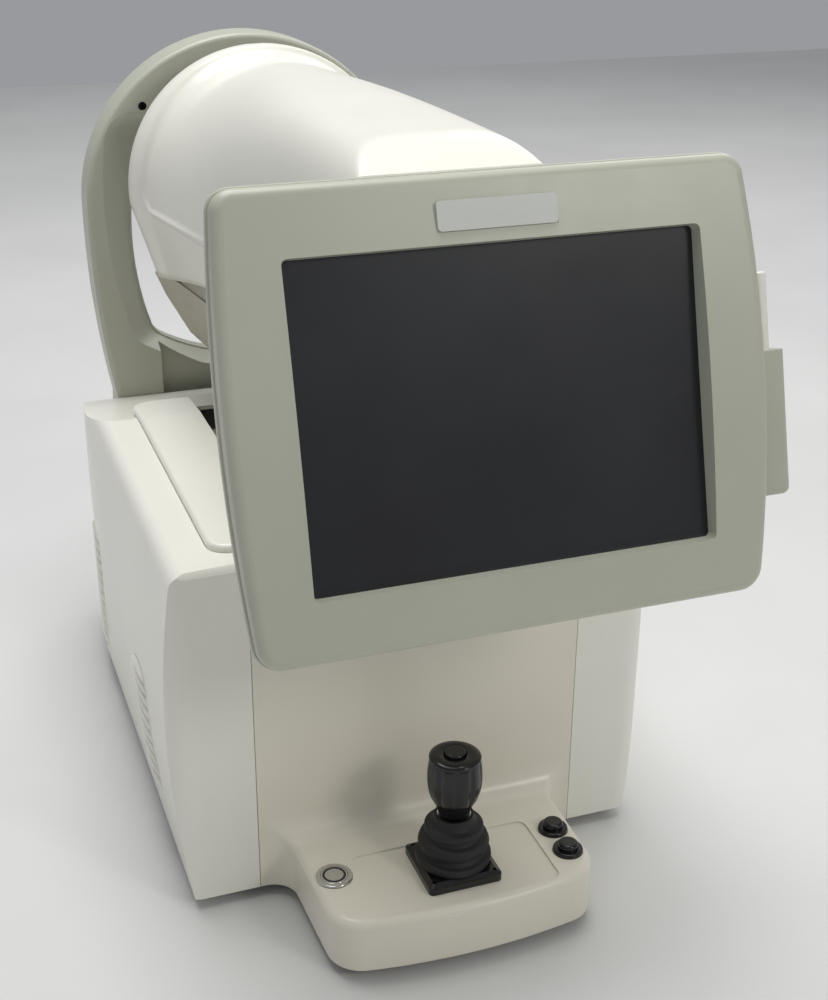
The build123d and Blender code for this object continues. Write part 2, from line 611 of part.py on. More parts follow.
def make_optical_tube():
    tube = rod_y(17, 0, HEAD_AXIS_Z, -120, 112)
    tube += rod_y(22, 0, HEAD_AXIS_Z, 60, 112)
    tube += rod_y(22, 0, HEAD_AXIS_Z, -120, -90)
    tube += block(-16, 16, -100, 90, HEAD_FLOOR_Z[1], HEAD_AXIS_Z)
    tube -= rod_y(13, 0, HEAD_AXIS_Z, -200, 200)
    return tube - rod_y(17.5, 0, HEAD_AXIS_Z, 105, 200)


def make_front_lens():
    lens = rod_y(17.4, 0, HEAD_AXIS_Z, 106, 110)
    dome = Pos(0, 70, HEAD_AXIS_Z) * Sphere(44)
    return lens + (dome & rod_y(13, 0, HEAD_AXIS_Z, 109, 116))


def make_sensor():
    """Wavefront camera at the far end of the optical tube."""
    body = block(-24, 24, -160, -122, HEAD_FLOOR_Z[1], HEAD_AXIS_Z + 24)
    body = rounded(body, body.edges().filter_by(Axis.Y), 4)
    body += rod_y(12.6, 0, HEAD_AXIS_Z, -123, -104)
    return body


# ---------------------------------------------------------------- display
display_place = Pos(0, DISPLAY_Y, DISPLAY_Z) * Rot(-TILT, 0, 0)


def display_outline(inset):
    """Front view of the bezel in X and Z: straight top and bottom, bowed sides."""
    top, low = BEZEL_TOP - inset, BEZEL_BOTTOM + inset
    mid, high, foot = BEZEL_HALF_MID - inset, BEZEL_HALF_TOP - inset, BEZEL_HALF_LOW - inset
    face = make_face(
        ThreePointArc((foot, low), (mid, 5), (high, top))
        + Line((high, top), (-high, top))
        + ThreePointArc((-high, top), (-mid, 5), (-foot, low))
        + Line((-foot, low), (foot, low)))
    face = fillet(face.vertices().group_by(Axis.Y)[-1], 11 - min(inset, 6))
    return fillet(face.vertices().group_by(Axis.Y)[0], 13 - min(inset, 6))


def make_bezel():
    """Front moulding: crowned face, opening for the screen, return round the edge."""
    face_arc = ThreePointArc((1.0, BEZEL_BOTTOM - 2), (-BEZEL_BULGE, 1), (1.0, BEZEL_TOP + 2))
    side = make_face(face_arc + Polyline((1.0, BEZEL_TOP + 2), (BEZEL_DEPTH, BEZEL_TOP + 2),
                                         (BEZEL_DEPTH, BEZEL_BOTTOM - 2), (1.0, BEZEL_BOTTOM - 2)))
    body = prism_y(display_outline(0), -BEZEL_BULGE - 2, BEZEL_DEPTH) & prism_x(side, -160, 160)
    front = body.faces().sort_by(Axis.Y)[0]
    body = rounded(body, front.outer_wire().edges(), 5.5, 5, 4, 3, 2)
    body -= prism_y(display_outline(WALL), SCREEN_RECESS, BEZEL_DEPTH + 1)
    w, h = OPENING
    mouth = fillet(Rectangle(w + 1.5, h + 1.5).vertices(), 3.5)
    seat = fillet(Rectangle(w - 1.5, h - 1.5).vertices(), 2.5)
    body -= loft([across(-BEZEL_BULGE - 1.5) * mouth, across(SCREEN_RECESS + 1.0) * seat], ruled=True)
    plate = Pos(0, 93) * Rectangle(62, 15)
    body -= prism_y(plate, -BEZEL_BULGE - 3, -1.2)
    return display_place * body


def make_name_plate():
    """Blank badge let into the top of the bezel."""
    plate = fillet(Rectangle(61.2, 14.2).vertices(), 2.2)
    badge = prism_y(Pos(0, 93) * plate, -2.6, -1.2)
    return display_place * badge


def make_screen():
    w, h = OPENING
    glass = prism_y(Rectangle(w + 10, h + 10), SCREEN_RECESS, SCREEN_RECESS + 1.8)
    return display_place * glass


def make_lcd():
    w, h = OPENING
    panel = prism_y(Rectangle(w + 16, h + 12), SCREEN_RECESS + 1.8, SCREEN_RECESS + 8.0)
    panel = rounded(panel, panel.edges().filter_by(Axis.Y), 2)
    return display_place * panel


def tub_form(inset, front, back):
    return loft([across(front) * display_outline(1.2 + inset), across(back) * display_outline(9.0 + inset)])


def make_display_back():
    """Rear tub of the display, with the hinge knuckle and posts behind the panel."""
    deep = BACK_DEPTH
    tub = tub_form(0, BEZEL_DEPTH, deep)
    tub = rounded(tub, tub.faces().sort_by(Axis.Y)[-1].outer_wire().edges(), 6, 4, 3)
    tub -= tub_form(WALL, BEZEL_DEPTH - 0.5, deep - WALL)
    for x in (-96, 96):
        for z in (-66, 66):
            tub += rod_y(5, x, z, SCREEN_RECESS + 8.0, deep - WALL + 0.5)
    for k in range(9):
        slot = Pos(-48 + 12 * k, 84) * SlotOverall(24, 4, rotation=90)
        tub -= prism_y(slot, deep - 10, deep + 5)
    tub += rod_x(9, HINGE_W, HINGE_V, -13.5, 13.5)
    tub += block(-13.5, 13.5, deep - 2, HINGE_W, HINGE_V - 9, HINGE_V + 9)
    return display_place * (tub - rod_x(4.0, HINGE_W, HINGE_V, -40, 40))


def make_hinge_pin():
    pin = rod_x(4.0, HINGE_W, HINGE_V, -24, 24) + rod_x(6.5, HINGE_W, HINGE_V, 22.6, 25.5)
    return display_place * pin


def make_stylus_holder():
    """Pocket on the right flank of the display for the touch pen."""
    x1 = STYLUS_X + STYLUS_R + 6.0
    pocket = block(124.0, x1, STYLUS_W - 8, STYLUS_W + 8, -66, 11)
    pocket = rounded(pocket, pocket.edges().filter_by(Axis.Z).group_by(Axis.X)[-1], 5)
    low = [e for e in pocket.edges().group_by(Axis.Z)[0] if e.center().X > 140]
    pocket = rounded(pocket, low, 4, 3, 2)
    pocket -= tub_form(0, BEZEL_DEPTH, BACK_DEPTH)
    return display_place * (pocket - rod_z(STYLUS_R + 2 * RUN, STYLUS_X, STYLUS_W, -60.4, 30))


def make_stylus():
    pen = rod_z(STYLUS_R, STYLUS_X, STYLUS_W, -48, 52)
    pen = rounded(pen, pen.edges().group_by(Axis.Z)[-1], 1.2)
    tip = Pos(STYLUS_X, STYLUS_W, -54) * Cone(1.2, STYLUS_R - 0.6, 12)
    return display_place * (pen + tip)


# ---------------------------------------------------------------- face arch and chin rest
def arch_outline(inset):
    r = ARCH_R - inset
    arc = ThreePointArc((r, ARCH_CENTRE_Z), (0, ARCH_CENTRE_Z + r), (-r, ARCH_CENTRE_Z))
    waist = 113.0 - inset
    foot = 121.0 - inset
    low = 16.0 + inset
    left = ThreePointArc((-r, ARCH_CENTRE_Z), (-121.0 + inset, 250), (-waist, 194))
    right = ThreePointArc((waist, 194), (121.0 - inset, 250), (r, ARCH_CENTRE_Z))
    skirt = Polyline((-waist, 194), (-waist - 2, 150), (-foot, 60), (-foot, low), (foot, low), (foot, 60),
                     (waist + 2, 150), (waist, 194))
    face = make_face(arc + left + skirt + right)
    low_corners = face.vertices().group_by(Axis.Y)[0]
    return fillet(low_corners, 10)


def egg(half, top, low, shoulder):
    """Face opening: flat-topped above, drawn together below; shoulder is how far the top stands in."""
    crown, knee = half - shoulder, half * 0.86
    shape = make_face(
        Line((-crown, top), (crown, top))
        + ThreePointArc((crown, top), (half, 320), (knee, 242))
        + ThreePointArc((knee, 242), (0, low), (-knee, 242))
        + ThreePointArc((-knee, 242), (-half, 320), (-crown, top)))
    shape = fillet(shape.vertices().group_by(Axis.Y)[-1], 22)
    return fillet([v for v in shape.vertices() if abs(v.Y - 242) < 1], 20)


def make_arch_frame():
    """Operator-side moulding of the arch: flat band round a funnel that clears the head."""
    front, joint, _ = ARCH_Y
    body = prism_y(arch_outline(0), front, joint)
    edge = body.faces().sort_by(Axis.Y)[0].outer_wire().edges()
    body = rounded(body, edge, 3.5, 3, 2, 1)
    mouth, throat = egg(112.0, 417, 212, 6), egg(91.5, 412, 217, 18)
    body -= loft([across(front - 0.5) * mouth, across(joint + 0.5) * throat])
    pocket = make_face(ThreePointArc((-77, 236), (0, 210), (77, 236))
                       + Polyline((77, 236), (77, 150), (-77, 150), (-77, 236)))
    body -= prism_y(pocket, front - 1, front + 12)
    for x in (-ARCH_SCREW_X, ARCH_SCREW_X):
        body -= rod_y(3.2, x, ARCH_SCREW_Z, front - 1, front + 3)
        body -= rod_y(1.8, x, ARCH_SCREW_Z, front, joint + 1)
    return body


def forehead_outline(grow):
    """Curved band across the brow."""
    x, low, high = 58 + grow, 424 - grow, 446 + grow
    face = make_face(
        ThreePointArc((-x, low), (0, low - 12), (x, low))
        + Line((x, low), (x, high))
        + ThreePointArc((x, high), (0, high - 4), (-x, high))
        + Line((-x, high), (-x, low)))
    return fillet(face.vertices(), 8)


def make_arch_face():
    """Patient-side moulding of the arch, with the seat for the forehead pad."""
    _, joint, back = ARCH_Y
    body = prism_y(arch_outline(0), joint, back)
    edge = body.faces().sort_by(Axis.Y)[-1].outer_wire().edges()
    body = rounded(body, edge, 7, 5, 3, 2)
    body -= prism_y(egg(90.0, 411, 218, 18), joint - 1, back + 1)
    mouth = body.faces().sort_by(Axis.Y)[-1].inner_wires()
    if mouth:
        body = rounded(body, mouth[0].edges(), 5, 4, 3, 2)
    body += prism_y(forehead_outline(4), back - 3, back + 4)
    for x in (-ARCH_SCREW_X, ARCH_SCREW_X):
        body -= rod_y(1.8, x, ARCH_SCREW_Z, joint - 1, joint + 6)
    return body - block(-26, 26, joint - 1, back + 1, 58, 200)


def make_forehead_pad():
    """Soft band that the forehead leans on."""
    pad = prism_y(forehead_outline(0), ARCH_Y[2] + 4.3, ARCH_Y[2] + 17)
    return rounded(pad, pad.edges().group_by(Axis.Y)[-1], 5, 3)


def make_arch_screws():
    screws = []
    for x in (-ARCH_SCREW_X, ARCH_SCREW_X):
        place = Pos(x, ARCH_Y[0] + 3.0, ARCH_SCREW_Z) * Rot(90, 0, 0)
        screws.append(cap_screw(place, head_r=3.0, head_h=2.4, shank_r=1.8, shank=22.0))
    return Compound(screws)


def make_chin_column():
    """Housing low on the arch that holds the chin rest's lift."""
    back = ARCH_Y[2]
    body = block(-26, 26, back - 12, back + 36, 58, 200)
    body = rounded(body, body.edges().filter_by(Axis.Z), 9)
    body = rounded(body, body.faces().sort_by(Axis.Z)[-1].outer_wire().edges(), 3, 2)
    body -= block(-17, 17, back - 6, back + 30, 62, 196)
    return body - rod_z(9 + RUN, 0, CHIN_Y, 190, 220)


def make_chin_rest():
    """Curved cup on its lifting tube, with the nut of the lift in the tube's foot."""
    cup = Pos(0, CHIN_Y + 10, CHIN_TOP_Z - 8) * Box(76, 40, 24)
    cup = rounded(cup, cup.edges().filter_by(Axis.Z), 16)
    cup -= Pos(0, CHIN_Y + 10, CHIN_TOP_Z + 44) * Rot(90, 0, 0) * Cylinder(52, 80)
    cup += rod_z(9, 0, CHIN_Y, 116, CHIN_TOP_Z - 18)
    cup -= rod_z(6, 0, CHIN_Y, 134, CHIN_TOP_Z - 24)
    return cup - rod_z(SCREW_R + RUN, 0, CHIN_Y, 100, 140)


# ---------------------------------------------------------------- operator controls
def make_stick_plate():
    """Bevelled plate with the cup below it that carries the gimbal."""
    seat, low, high = (fillet(Rectangle(side, side).vertices(), 3) for side in (46, 45.4, 40))
    plate = Pos(0, STICK_Y, SHELF_TOP_Z - 1.2) * extrude(seat, amount=4.4)
    plate += Pos(0, STICK_Y, SHELF_TOP_Z + 3.2) * loft([low, Pos(0, 0, 2.2) * high])
    plate += rod_z(19.0, 0, STICK_Y, 22, SHELF_TOP_Z)
    plate -= rod_z(17.0, 0, STICK_Y, 24, SHELF_TOP_Z + 10)
    for x in (-19, 19):
        for y in (-19, 19):
            plate -= rod_z(1.2, x, STICK_Y + y, SHELF_TOP_Z + 4, SHELF_TOP_Z + 10)
    return plate - rod_x(1.6, STICK_Y, GIMBAL_Z, -30, 30)


def make_gimbal_ring():
    """Ring that tilts fore and aft on two pins along X."""
    ring = rod_z(14.0, 0, STICK_Y, GIMBAL_Z - 3, GIMBAL_Z + 3) - rod_z(10.5, 0, STICK_Y, 20, 50)
    ring += rod_x(1.6 - RUN, STICK_Y, GIMBAL_Z, 10.6, 18.6)
    ring += rod_x(1.6 - RUN, STICK_Y, GIMBAL_Z, -18.6, -10.6)
    return ring - rod_y(1.6, 0, GIMBAL_Z, STICK_Y - 30, STICK_Y + 30)


def make_stick_shaft():
    shaft = rod_z(4.5, 0, STICK_Y, GIMBAL_Z - 4, 116)
    shaft += Pos(0, STICK_Y, GIMBAL_Z) * Sphere(7.5)
    shaft += rod_y(1.6 - RUN, 0, GIMBAL_Z, STICK_Y - 13.6, STICK_Y + 13.6)
    shaft += rod_z(10.2, 0, STICK_Y, 77.6, 79.6)
    return shaft - rod_z(2.0 + 2 * RUN, 0, STICK_Y, 100, 130)


def make_stick_handle():
    """Barrel grip with flutes; it twists for the height of the head."""
    side = Polyline((4.0, 80), (11.0, 80), (14.0, 85), (16.2, 98), (15.4, 108), (14.4, 115), (12.4, 119.5),
                    (8.5, 121), (6.3, 121), (6.3, 116.4), (4.0, 116.4), close=True)
    grip = revolve(Plane.XZ * make_face(side), Axis.Z)
    for k in range(8):
        grip -= Rot(0, 0, 45 * k + 22.5) * Pos(21.6, 0, 96) * Rot(0, -4, 0) * Cylinder(7.2, 26)
    return Pos(0, STICK_Y, 0) * (grip - Cylinder(4.5 + RUN, 400))


def make_stick_button():
    cap = rod_z(6.2, 0, STICK_Y, 118.8, 122.6)
    cap = rounded(cap, cap.edges().group_by(Axis.Z)[-1], 1.2)
    return cap + rod_z(2.0, 0, STICK_Y, 104, 119)


def make_boot(levels):
    """Ring of the rubber boot from radius and height pairs, with a constant wall."""
    inner = [(r - 1.2, z) for r, z in reversed(levels)]
    side = make_face(Polyline(*levels, *inner, close=True))
    return Pos(0, STICK_Y, 0) * revolve(Plane.XZ * side, Axis.Z)


def flanged_ring(x, y, flange_r, barrel_r, bore_r, proud, round_r):
    """Bezel of a push button: flange on the shelf, barrel through it."""
    ring = rod_z(flange_r, x, y, SHELF_TOP_Z - 0.8, SHELF_TOP_Z + proud)
    ring = rounded(ring, ring.edges().group_by(Axis.Z)[-1], round_r)
    ring += rod_z(barrel_r, x, y, 26, SHELF_TOP_Z)
    return ring - rod_z(bore_r, x, y, 28, SHELF_TOP_Z + 5)


def make_power_ring():
    return flanged_ring(*POWER_BUTTON_XY, 11.0, 9.4, 8.3, 1.4, 0.8)


def push_cap(x, y, r, low, high, round_r):
    cap = rod_z(r, x, y, low, high)
    return rounded(cap, cap.edges().group_by(Axis.Z)[-1], round_r)


def make_chin_rings():
    return Compound([flanged_ring(x, y, 9.2, 7.4, 6.3, 2.4, 1.2) for x, y in CHIN_BUTTONS_XY])


# ---------------------------------------------------------------- electronics in the base
def make_power_supply():
    box = block(-116, -66, 130, 166, CHASSIS_Z[1], 88)
    box -= block(-114.5, -67.5, 131.5, 164.5, CHASSIS_Z[1] + 1.5, 86.5)
    for k in range(6):
        box -= block(-110 + 7 * k, -106.5 + 7 * k, 120, 134, 34, 74)
    return box


def make_control_board():
    board = block(-124, -90, -190, -134, 40, 41.6)
    for x in (-120, -94):
        for y in (-186, -138):
            board += rod_z(2.5, x, y, CHASSIS_Z[1], 40.1)
    board += block(-116, -100, -176, -160, 41.5, 44)
    return board + block(-120, -96, -152, -144, 41.5, 47)


def make_inlet():
    """Mains inlet low on the right flank, on a foot from the chassis."""
    shell = block(118, 140, 129, 157, 25, 47) + block(118, 132, 133, 153, CHASSIS_Z[1], 26)
    return shell - block(122, 145, 133, 153, 29, 43)


LOWER_BOOT = [(20.8, 47.7), (22.6, 49.4), (22.6, 52.0), (20.6, 53.2)]
UPPER_BOOT = [(17.0, 60.2), (20.0, 64.6), (20.0, 67.6), (15.0, 72.5), (12.0, 76.0), (11.4, 77.6),
              (11.4, 79.6)]

MAKERS = {
    "top_panel": make_top_panel, "front_panel": make_front_panel, "rear_panel": make_rear_panel,
    "chassis_plate": make_chassis, "feet": make_feet, "y_rails": make_y_rails,
    "y_carriage": make_y_carriage, "x_rails": make_x_rails, "x_carriage": make_x_carriage,
    "z_guides": make_z_guides, "dust_shield": make_dust_shield, "upper_shell": make_upper_shell,
    "lower_shell": make_lower_shell, "lower_housing": make_lower_housing, "neck": make_neck,
    "head_frame": make_head_frame, "measuring_face": make_measuring_face,
    "target_cone": make_target_cone, "optical_tube": make_optical_tube,
    "front_lens": make_front_lens, "wavefront_sensor": make_sensor, "bezel": make_bezel,
    "name_plate": make_name_plate, "touch_screen": make_screen, "lcd_panel": make_lcd,
    "display_back": make_display_back, "hinge_pin": make_hinge_pin,
    "stylus_holder": make_stylus_holder, "stylus": make_stylus, "arch_frame": make_arch_frame,
    "arch_face": make_arch_face, "forehead_pad": make_forehead_pad, "arch_screws": make_arch_screws,
    "chin_column": make_chin_column, "chin_rest": make_chin_rest, "stick_plate": make_stick_plate,
    "gimbal_ring": make_gimbal_ring, "stick_shaft": make_stick_shaft,
    "stick_handle": make_stick_handle, "stick_button": make_stick_button,
    "power_button_ring": make_power_ring, "chin_button_rings": make_chin_rings,
    "power_supply": make_power_supply, "control_board": make_control_board, "mains_inlet": make_inlet,
}


def make_all():
    parts = make_covers()
    for name, maker in MAKERS.items():
        parts[name] = maker()
    parts["boot_lower"] = make_boot(LOWER_BOOT)
    parts["boot_upper"] = make_boot(UPPER_BOOT)
    parts["power_button"] = push_cap(*POWER_BUTTON_XY, 8.22, 32, SHELF_TOP_Z + 1.5, 0.5)
    parts["chin_up_button"] = push_cap(*CHIN_BUTTONS_XY[0], 6.22, 33, SHELF_TOP_Z + 6.4, 2.0)
    parts["chin_down_button"] = push_cap(*CHIN_BUTTONS_XY[1], 6.22, 33, SHELF_TOP_Z + 6.4, 2.0)
    drives = {
        "y": (Pos(0, -104, Y_SCREW_Z) * Rot(-90, 0, 0), 200, 22, 34),
        "x": (Pos(-88, X_SCREW_Y, X_RAIL_Z) * Rot(0, 90, 0), 174, 20, 18),
        "z": (Pos(0, 0, X_RAIL_Z + 10), 136, 26, 18),
        "chin": (Pos(0, CHIN_Y, 84), 88, 28, 22),
    }
    for name, (place, length, width, depth) in drives.items():
        parts[f"{name}_screw"] = place * make_screw(length)
        parts[f"{name}_motor"] = place * make_motor(width, depth)
    return parts


if __name__ == "__main__":
    os.makedirs("parts", exist_ok=True)
    for name, shape in make_all().items():
        export_step(Pos(*TO_ORIGIN) * shape, f"parts/{name}.step")
        count, volume = len(shape.solids()), shape.volume / 1000
        print(f"{name}: {count} solids, valid {shape.is_valid}, {volume:.1f} cm3")
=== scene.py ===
import json
import math

import bmesh
import bpy
from mathutils import Matrix, Vector
from mathutils.bvhtree import BVHTree


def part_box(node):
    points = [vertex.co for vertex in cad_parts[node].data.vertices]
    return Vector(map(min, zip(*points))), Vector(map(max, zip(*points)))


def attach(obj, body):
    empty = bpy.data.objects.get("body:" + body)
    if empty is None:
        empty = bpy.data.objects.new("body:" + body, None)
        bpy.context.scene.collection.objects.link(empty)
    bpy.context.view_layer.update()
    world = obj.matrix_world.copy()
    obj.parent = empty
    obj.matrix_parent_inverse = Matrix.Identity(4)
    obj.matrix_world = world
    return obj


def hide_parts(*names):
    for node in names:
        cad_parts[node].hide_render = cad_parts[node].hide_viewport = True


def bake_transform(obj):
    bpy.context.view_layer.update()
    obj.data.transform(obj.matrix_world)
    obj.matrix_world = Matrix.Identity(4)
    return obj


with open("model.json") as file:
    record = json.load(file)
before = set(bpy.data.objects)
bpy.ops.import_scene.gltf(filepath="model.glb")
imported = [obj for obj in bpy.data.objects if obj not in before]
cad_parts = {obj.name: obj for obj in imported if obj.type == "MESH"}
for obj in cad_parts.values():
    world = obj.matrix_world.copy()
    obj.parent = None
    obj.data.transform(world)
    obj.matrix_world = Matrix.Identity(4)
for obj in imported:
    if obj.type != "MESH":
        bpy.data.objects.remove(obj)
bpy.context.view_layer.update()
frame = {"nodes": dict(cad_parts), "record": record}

NODES = frame["nodes"]


# ---------------------------------------------------------------- materials
def srgb(r, g, b):
    """8-bit display colour to a linear RGBA tuple."""
    def lin(c):
        c /= 255.0
        return c / 12.92 if c <= 0.04045 else ((c + 0.055) / 1.055) ** 2.4
    return (lin(r), lin(g), lin(b), 1.0)


def shade(colour, k):
    """The colour made k times as bright."""
    return (colour[0] * k, colour[1] * k, colour[2] * k, 1.0)


class Nodes:
    """Short calls for building one node material."""

    def __init__(self, name):
        self.mat = bpy.data.materials.new(name)
        self.mat.use_nodes = True
        self.tree = self.mat.node_tree
        self.bsdf = self.tree.nodes["Principled BSDF"]
        self.coords = self.tree.nodes.new("ShaderNodeTexCoord").outputs["Object"]

    def link(self, a, b):
        self.tree.links.new(a, b)

    def noise(self, scale, detail=3.0, roughness=0.55, vector=None):
        node = self.tree.nodes.new("ShaderNodeTexNoise")
        node.inputs["Scale"].default_value = scale
        node.inputs["Detail"].default_value = detail
        node.inputs["Roughness"].default_value = roughness
        self.link(vector or self.coords, node.inputs["Vector"])
        return node.outputs["Fac"]

    def voronoi(self, scale):
        node = self.tree.nodes.new("ShaderNodeTexVoronoi")
        node.inputs["Scale"].default_value = scale
        self.link(self.coords, node.inputs["Vector"])
        return node.outputs["Distance"]

    def stretched(self, x, y, z):
        node = self.tree.nodes.new("ShaderNodeMapping")
        node.inputs["Scale"].default_value = (x, y, z)
        self.link(self.coords, node.inputs["Vector"])
        return node.outputs["Vector"]

    def ramp(self, value, stops):
        node = self.tree.nodes.new("ShaderNodeValToRGB")
        ramp = node.color_ramp
        ramp.elements[0].position, ramp.elements[0].color = stops[0]
        ramp.elements[1].position, ramp.elements[1].color = stops[-1]
        for position, colour in stops[1:-1]:
            ramp.elements.new(position).color = colour
        self.link(value, node.inputs["Fac"])
        return node.outputs["Color"]

    def spread(self, value, low, high):
        """Map a 0 to 1 value on to low to high."""
        node = self.tree.nodes.new("ShaderNodeMapRange")
        node.inputs["To Min"].default_value = low
        node.inputs["To Max"].default_value = high
        self.link(value, node.inputs["Value"])
        return node.outputs["Result"]

    def bump(self, height, strength, distance, below=None):
        node = self.tree.nodes.new("ShaderNodeBump")
        node.inputs["Strength"].default_value = strength
        node.inputs["Distance"].default_value = distance
        self.link(height, node.inputs["Height"])
        if below is not None:
            self.link(below, node.inputs["Normal"])
        return node.outputs["Normal"]

    def set(self, **values):
        for key, value in values.items():
            self.bsdf.inputs[key.replace("_", " ")].default_value = value


def plastic(name, colour, rough=0.35, grain=0.05, grain_scale=2600.0, tone=0.05, coat=0.0):
    """Moulded plastic: slow tone drift, mould grain, and slightly uneven gloss."""
    m = Nodes(name)
    drift = m.noise(7.0, 2.0)
    m.link(m.ramp(drift, [(0.30, shade(colour, 1 - tone)), (0.70, shade(colour, 1 + tone * 0.4))]),
           m.bsdf.inputs["Base Color"])
    smudge = m.noise(38.0, 4.0)
    m.link(m.spread(smudge, rough * 0.82, rough * 1.22), m.bsdf.inputs["Roughness"])
    wave = m.bump(m.noise(26.0, 2.0), 0.05, 0.0006)
    m.link(m.bump(m.noise(grain_scale, 2.0), grain, 0.0001, wave), m.bsdf.inputs["Normal"])
    m.set(IOR=1.49, Coat_Weight=coat, Coat_Roughness=0.12)
    return m.mat


def metal(name, colour, rough=0.28, stretch=(1.0, 1.0, 1.0), scale=900.0):
    """Ground or turned metal with fine directional lines."""
    m = Nodes(name)
    lines = m.noise(scale, 3.0, 0.6, m.stretched(*stretch))
    m.link(m.ramp(lines, [(0.3, shade(colour, 0.82)), (0.7, colour)]), m.bsdf.inputs["Base Color"])
    m.link(m.spread(m.noise(60.0), rough * 0.8, rough * 1.3), m.bsdf.inputs["Roughness"])
    m.link(m.bump(lines, 0.12, 0.0001), m.bsdf.inputs["Normal"])
    m.set(Metallic=1.0)
    return m.mat


def rubber(name, colour, rough=0.62):
    """Matt rubber with paler, dusty patches."""
    m = Nodes(name)
    dusty = m.ramp(m.noise(55.0, 4.0), [(0.35, colour), (0.75, shade(colour, 1.9))])
    m.link(dusty, m.bsdf.inputs["Base Color"])
    m.link(m.spread(m.noise(160.0), rough * 0.85, rough * 1.1), m.bsdf.inputs["Roughness"])
    m.link(m.bump(m.noise(3200.0, 2.0), 0.10, 0.0001), m.bsdf.inputs["Normal"])
    return m.mat


def screen_glass(name):
    """Touch panel: dark, with faint lighter bluish patches of painted reflection, dust specks, finger smears
    in the gloss.
    """
    m = Nodes(name)
    # painted reflection: broad lighter bluish patches laid into the dark glass colour
    painted_reflection = m.noise(5.0, 2.0)
    base = m.ramp(painted_reflection, [(0.35, srgb(24, 23, 25)), (0.70, srgb(31, 34, 39))])
    specks = m.ramp(m.voronoi(150.0), [(0.018, (1, 1, 1, 1)), (0.03, (0, 0, 0, 1))])
    dust = m.ramp(m.noise(40.0, 1.0), [(0.60, (0, 0, 0, 1)), (0.66, (1, 1, 1, 1))])
    both = m.tree.nodes.new("ShaderNodeMix")
    both.data_type = "RGBA"
    both.blend_type = "MULTIPLY"
    both.inputs["Factor"].default_value = 1.0
    m.link(specks, both.inputs["A"])
    m.link(dust, both.inputs["B"])
    mix = m.tree.nodes.new("ShaderNodeMix")
    mix.data_type = "RGBA"
    m.link(both.outputs["Result"], mix.inputs["Factor"])
    m.link(base, mix.inputs["A"])
    mix.inputs["B"].default_value = srgb(104, 101, 98)
    m.link(mix.outputs["Result"], m.bsdf.inputs["Base Color"])
    smear = m.noise(14.0, 5.0, 0.65)
    m.link(m.spread(smear, 0.22, 0.42), m.bsdf.inputs["Roughness"])
    m.set(IOR=1.5)
    return m.mat


def lens_glass(name):
    """Coated lens that drifts between violet and blue-green."""
    m = Nodes(name)
    coating = m.ramp(m.noise(20.0), [(0.3, srgb(60, 40, 90)), (0.7, srgb(40, 70, 80))])
    m.link(coating, m.bsdf.inputs["Base Color"])
    m.link(m.spread(m.noise(80.0), 0.03, 0.07), m.bsdf.inputs["Roughness"])
    m.set(IOR=1.6, Coat_Weight=1.0, Coat_Roughness=0.02)
    return m.mat


CREAM = srgb(238, 237, 226)
WARM = srgb(231, 226, 211)
GREY_GREEN = srgb(186, 188, 172)
# painted shade: the cream moulding made darker, for parts that sit in shade
SHADED_CREAM = srgb(186, 180, 165)
BLACK = srgb(22, 22, 23)

MATERIALS = {
    "cream_cover": plastic("cream_moulding", CREAM, 0.30, tone=0.03, coat=0.12),
    "beige_panel": plastic("warm_moulding", WARM, 0.32, tone=0.03, coat=0.08),
    # the taupe_plastic slot gets cream darkened with painted shade
    "taupe_plastic": plastic("shaded_cream_moulding", SHADED_CREAM, 0.40),
    "grey_green": plastic("grey_green_paint", GREY_GREEN, 0.34, grain=0.10, grain_scale=1500.0),
    "dark_plastic": plastic("dark_moulding", srgb(38, 38, 40), 0.45),
    "black_plastic": plastic("black_gloss_moulding", BLACK, 0.20, tone=0.2),
    "white_plastic": plastic("off_white_moulding", srgb(240, 238, 228), 0.25, tone=0.03),
    "rubber": rubber("black_rubber", srgb(20, 20, 21)),
    "pearl_plate": plastic("pearl_plate", srgb(214, 216, 210), 0.22, tone=0.06, coat=0.5),
    "pad": plastic("soft_silicone", srgb(163, 163, 155), 0.55, grain=0.08, tone=0.04),
    "steel": metal("ground_steel", srgb(196, 196, 198), 0.22),
    "stainless": metal("polished_stainless", srgb(214, 214, 212), 0.14),
    "motor_steel": metal("black_laminations", srgb(46, 46, 48), 0.45, (1, 1, 14)),
    "sheet_steel": metal("zinc_sheet", srgb(186, 188, 186), 0.36),
    "cast_alloy": metal("cast_alloy", srgb(170, 172, 175), 0.48, scale=300.0),
    "anodised": metal("black_anodised", srgb(34, 34, 37), 0.42),
    "board": plastic("green_solder_mask", srgb(20, 84, 48), 0.30),
    "screen_glass": screen_glass("touch_glass"),
    "lens_glass": lens_glass("coated_lens"),
}

# nodes that are painted differently from their record slot
REPAINT = {"arch_screws": "anodised", "power_button": "stainless", "rear_panel": "cream_cover"}
SLOT_OF = {row["node"]: row["material_slot"] for row in frame["record"]["subparts"]}
for node, obj in NODES.items():
    obj.data.materials.clear()
    obj.data.materials.append(MATERIALS[REPAINT.get(node, SLOT_OF[node])])


# ---------------------------------------------------------------- building pieces
RING_LOW, RING_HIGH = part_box("measuring_face")
AXIS_X = (RING_LOW.x + RING_HIGH.x) / 2
RING_FACE_Y = 148.5     # the ring's patient-side face, in mm from the pedestal axis
MM = 0.001


def place(x, y, z):
    """A point given in millimetres from the pedestal axis, on the table, in the shared frame."""
    return Vector((AXIS_X + x * MM, RING_HIGH.y + (y - RING_FACE_Y) * MM, z * MM))


